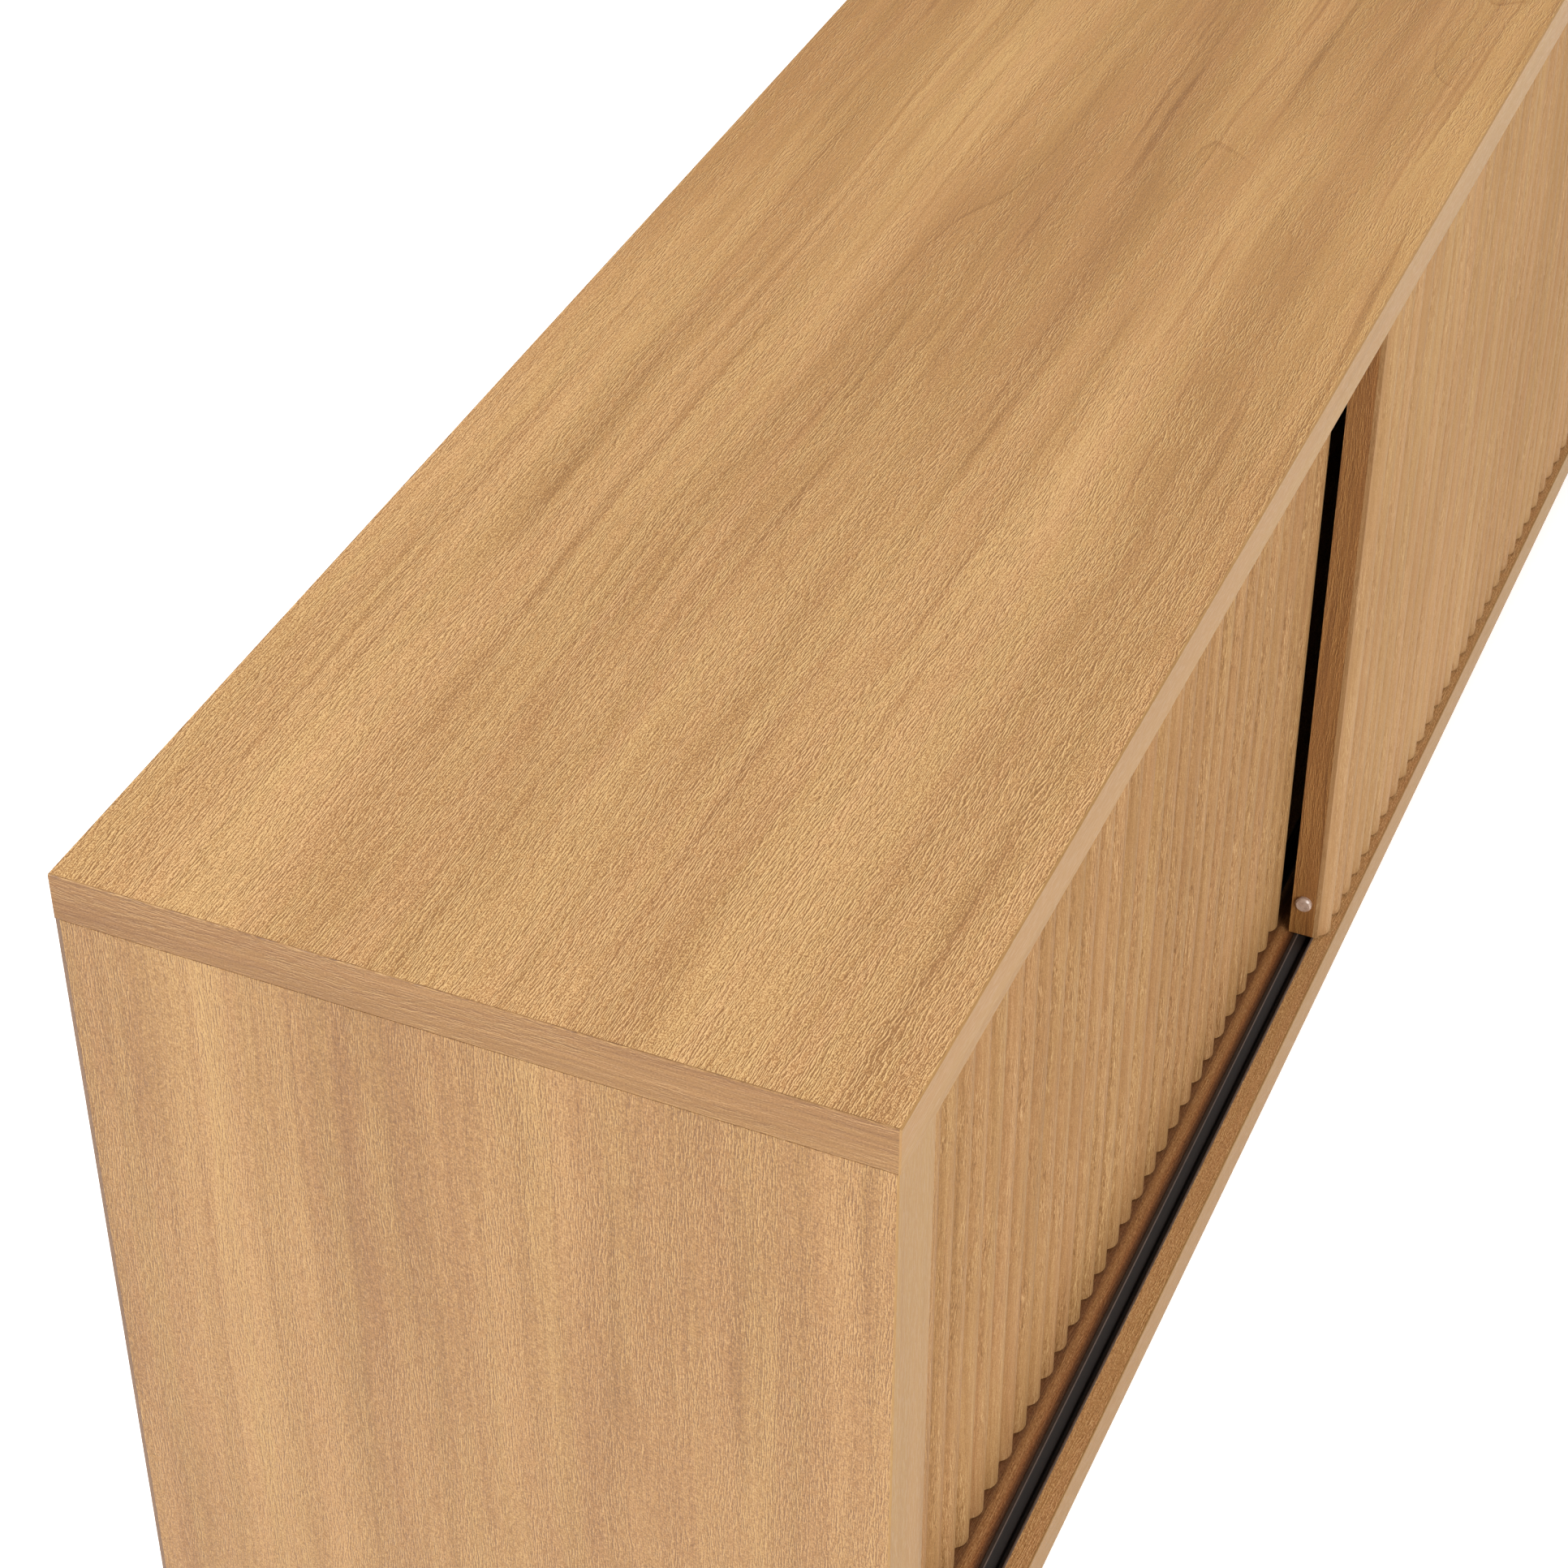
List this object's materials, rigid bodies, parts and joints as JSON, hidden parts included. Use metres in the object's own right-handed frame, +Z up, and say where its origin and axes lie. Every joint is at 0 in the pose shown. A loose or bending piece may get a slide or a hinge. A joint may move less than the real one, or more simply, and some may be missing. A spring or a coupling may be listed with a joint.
{
  "type": "media cabinet",
  "caption": "Low oak-laminate media cabinet with reeded sliding doors on rollers, a centre divider, shelves and cable holes.",
  "frame": {"origin": "on the floor, under the centre of the case", "axes": "+X along the length, to the right seen from the front; -Y is the front with the doors; +Z up"},
  "size_m": [1.492, 0.4, 0.55],
  "materials": {
    "top_laminate": "satin printed oak laminate, fine embossed grain along the length",
    "side_laminate": "satin printed oak laminate, upright grain",
    "bottom_laminate": "satin printed oak laminate, grain along the length",
    "divider_laminate": "satin printed oak laminate, upright grain",
    "shelf_laminate": "satin printed oak laminate, grain along the length",
    "edge_band": "smooth satin oak edging, grain along the length",
    "end_band": "smooth satin oak edging, grain from front to back",
    "upright_band": "smooth satin oak edging, upright grain",
    "door_laminate": "satin printed oak laminate, upright grain",
    "reeded_facing": "satin reeded oak facing, upright grain",
    "back_board": "thin hard fibreboard, smooth brown face",
    "track_plastic": "extruded dark brown plastic, semi-matt",
    "fitting_plastic": "moulded black plastic",
    "roller_nylon": "turned white nylon",
    "pin_nylon": "moulded white nylon",
    "axle_steel": "bright drawn steel",
    "bumper_silicone": "clear soft silicone, glossy",
    "zinc_casting": "die-cast zinc, dull",
    "zinc_steel": "zinc-plated steel",
    "dowel_beech": "raw fluted beech",
    "shelf_pin_steel": "nickel-plated steel",
    "screw_steel": "zinc-plated steel",
    "foot_plastic": "moulded black plastic"
  },
  "bodies": {
    "case": {"top_panel": "top_laminate", "top_front_band": "edge_band", "top_left_end_band": "end_band", "top_right_end_band": "end_band", "left_side_panel": "side_laminate", "right_side_panel": "side_laminate", "left_side_front_band": "upright_band", "right_side_front_band": "upright_band", "bottom_panel": "bottom_laminate", "bottom_front_band": "edge_band", "centre_divider": "divider_laminate", "centre_divider_front_band": "upright_band", "left_shelf": "shelf_laminate", "left_shelf_front_band": "edge_band", "right_shelf": "shelf_laminate", "right_shelf_front_band": "edge_band", "left_back_panel": "back_board", "right_back_panel": "back_board", "front_bottom_track": "track_plastic", "rear_bottom_track": "track_plastic", "front_top_track": "track_plastic", "rear_top_track": "track_plastic", "cam_locks": "zinc_casting", "cam_bolts": "zinc_steel", "dowels": "dowel_beech", "shelf_pins": "shelf_pin_steel", "back_panel_screws": "screw_steel", "feet": "foot_plastic", "foot_screws": "screw_steel"},
    "left_door": {"left_door_board": "door_laminate", "left_door_facing": "reeded_facing", "left_door_bumpers": "bumper_silicone", "left_door_roller_housings": "fitting_plastic", "left_door_roller_axles": "axle_steel", "left_door_guide_housings": "fitting_plastic"},
    "left_door_left_roller": {"left_door_left_roller": "roller_nylon"},
    "left_door_left_guide_pin": {"left_door_left_guide_pin": "pin_nylon"},
    "left_door_right_roller": {"left_door_right_roller": "roller_nylon"},
    "left_door_right_guide_pin": {"left_door_right_guide_pin": "pin_nylon"},
    "right_door": {"right_door_board": "door_laminate", "right_door_facing": "reeded_facing", "right_door_bumpers": "bumper_silicone", "right_door_roller_housings": "fitting_plastic", "right_door_roller_axles": "axle_steel", "right_door_guide_housings": "fitting_plastic"},
    "right_door_left_roller": {"right_door_left_roller": "roller_nylon"},
    "right_door_left_guide_pin": {"right_door_left_guide_pin": "pin_nylon"},
    "right_door_right_roller": {"right_door_right_roller": "roller_nylon"},
    "right_door_right_guide_pin": {"right_door_right_guide_pin": "pin_nylon"}
  },
  "joints": [
    {"name": "left_door_slide", "type": "slide", "parent": "case", "child": "left_door", "axis": [1, 0, 0], "range_m": [0, 0.6965]},
    {"name": "left_door_left_roller_spin", "type": "hinge", "parent": "left_door", "child": "left_door_left_roller", "pos_m": [-0.6522, -0.1533, 0.0579], "axis": [0, 1, 0], "continuous": true},
    {"name": "left_door_left_guide_pin_press", "type": "slide", "parent": "left_door", "child": "left_door_left_guide_pin", "axis": [0, 0, -1], "range_m": [0, 0.0065], "stiffness_N_per_m": 150, "springref_m": -0.004},
    {"name": "left_door_right_roller_spin", "type": "hinge", "parent": "left_door", "child": "left_door_right_roller", "pos_m": [-0.04435, -0.1533, 0.0579], "axis": [0, 1, 0], "continuous": true},
    {"name": "left_door_right_guide_pin_press", "type": "slide", "parent": "left_door", "child": "left_door_right_guide_pin", "axis": [0, 0, -1], "range_m": [0, 0.0065], "stiffness_N_per_m": 150, "springref_m": -0.004},
    {"name": "right_door_slide", "type": "slide", "parent": "case", "child": "right_door", "axis": [-1, 0, 0], "range_m": [0, 0.6965]},
    {"name": "right_door_left_roller_spin", "type": "hinge", "parent": "right_door", "child": "right_door_left_roller", "pos_m": [0.04435, -0.1849, 0.0579], "axis": [0, 1, 0], "continuous": true},
    {"name": "right_door_left_guide_pin_press", "type": "slide", "parent": "right_door", "child": "right_door_left_guide_pin", "axis": [0, 0, -1], "range_m": [0, 0.0065], "stiffness_N_per_m": 150, "springref_m": -0.004},
    {"name": "right_door_right_roller_spin", "type": "hinge", "parent": "right_door", "child": "right_door_right_roller", "pos_m": [0.6522, -0.1849, 0.0579], "axis": [0, 1, 0], "continuous": true},
    {"name": "right_door_right_guide_pin_press", "type": "slide", "parent": "right_door", "child": "right_door_right_guide_pin", "axis": [0, 0, -1], "range_m": [0, 0.0065], "stiffness_N_per_m": 150, "springref_m": -0.004}
  ],
  "couplings": [
    {"joint": "left_door_left_roller_spin", "follows": "left_door_slide", "rad_per_m": 76.923},
    {"joint": "left_door_right_roller_spin", "follows": "left_door_slide", "rad_per_m": 76.923},
    {"joint": "right_door_left_roller_spin", "follows": "right_door_slide", "rad_per_m": -76.923},
    {"joint": "right_door_right_roller_spin", "follows": "right_door_slide", "rad_per_m": -76.923}
  ]
}
